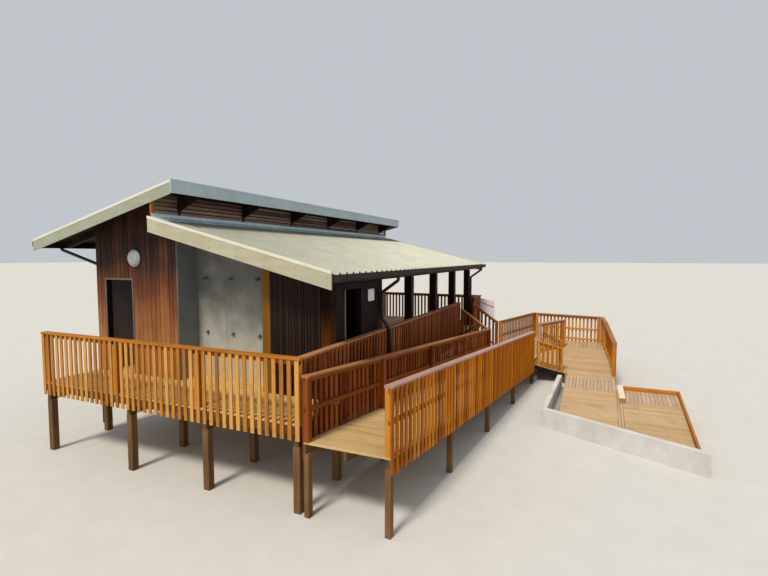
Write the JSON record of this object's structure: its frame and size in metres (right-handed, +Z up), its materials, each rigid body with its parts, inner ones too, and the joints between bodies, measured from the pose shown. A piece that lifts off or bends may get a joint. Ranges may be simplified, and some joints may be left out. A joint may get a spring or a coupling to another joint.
{
  "type": "beach lifeguard cabin",
  "caption": "Timber beach lifeguard cabin on a raised deck with two single-slope roofs, a louvre band, verandah, showers, stair and switchback access ramp.",
  "frame": {"origin": "middle of the base of the deck's near right corner foot, on the lowest ground", "axes": "+X across the cabin towards the ramp side, +Y along the ridge away from the gable with the doorway, +Z up"},
  "size_m": [13.42, 14.2869, 5.3017],
  "materials": {
    "floor_boards": "weathered",
    "frame_timber": "rough sawn",
    "rail_timber": "stained",
    "post_timber": "stained",
    "wall_cladding": "stained vertical boards",
    "grey_panel": "painted fibre cement",
    "painted_trim": "painted",
    "roof_timber": "stained",
    "louvre_timber": "stained",
    "roof_metal": "ribbed sheet",
    "barge_metal": "satin",
    "ridge_metal": "satin",
    "gutter_metal": "satin",
    "pipe_metal": "satin",
    "concrete": "cast",
    "light_cover": "frosted",
    "steel_fittings": "polished",
    "white_plate": "matt"
  },
  "bodies": {
    "root": {"apron_flashing": "ridge_metal", "clerestory_frame": "roof_timber", "clerestory_louvres": "louvre_timber", "concrete_kerb": "concrete", "deck_feet": "frame_timber", "deck_floor": "floor_boards", "deck_frame": "frame_timber", "divider_balustrade": "rail_timber", "door_heads": "wall_cladding", "doorway_frames": "painted_trim", "downpipes": "pipe_metal", "eave_beam": "post_timber", "eave_boards": "gutter_metal", "end_balustrades": "rail_timber", "far_gable_wall": "wall_cladding", "frame_posts": "post_timber", "gutters": "gutter_metal", "landing_balustrades": "rail_timber", "landing_floor": "floor_boards", "landing_frame": "frame_timber", "left_wall": "wall_cladding", "lower_barges": "barge_metal", "lower_roof_frame": "roof_timber", "lower_roof_sheet": "roof_metal", "lower_walk_floors": "floor_boards", "main_side_wall": "wall_cladding", "near_gable_walls": "wall_cladding", "notice_plate": "white_plate", "ramp_beams": "frame_timber", "ramp_feet": "frame_timber", "ramp_floor": "floor_boards", "ramp_inner_balustrade": "rail_timber", "ramp_outer_balustrade": "rail_timber", "ridge_fascia": "ridge_metal", "round_light": "light_cover", "second_ramp_balustrade": "rail_timber", "second_ramp_floor": "floor_boards", "shower_back_wall": "wall_cladding", "shower_bay_post": "post_timber", "shower_cheek": "wall_cladding", "shower_fittings": "steel_fittings", "shower_panels": "grey_panel", "side_balustrades": "rail_timber", "side_room_far_wall": "wall_cladding", "side_walk_upstands": "frame_timber", "side_walls": "grey_panel", "sign_board": "white_plate", "stair_balustrades": "rail_timber", "stair_strings": "frame_timber", "stair_treads": "floor_boards", "upper_barges": "barge_metal", "upper_roof_frame": "roof_timber", "upper_roof_sheet": "roof_metal", "walk_bearers": "frame_timber", "walk_edge_timbers": "frame_timber", "wedge_balustrade": "rail_timber"}
  },
  "joints": []
}
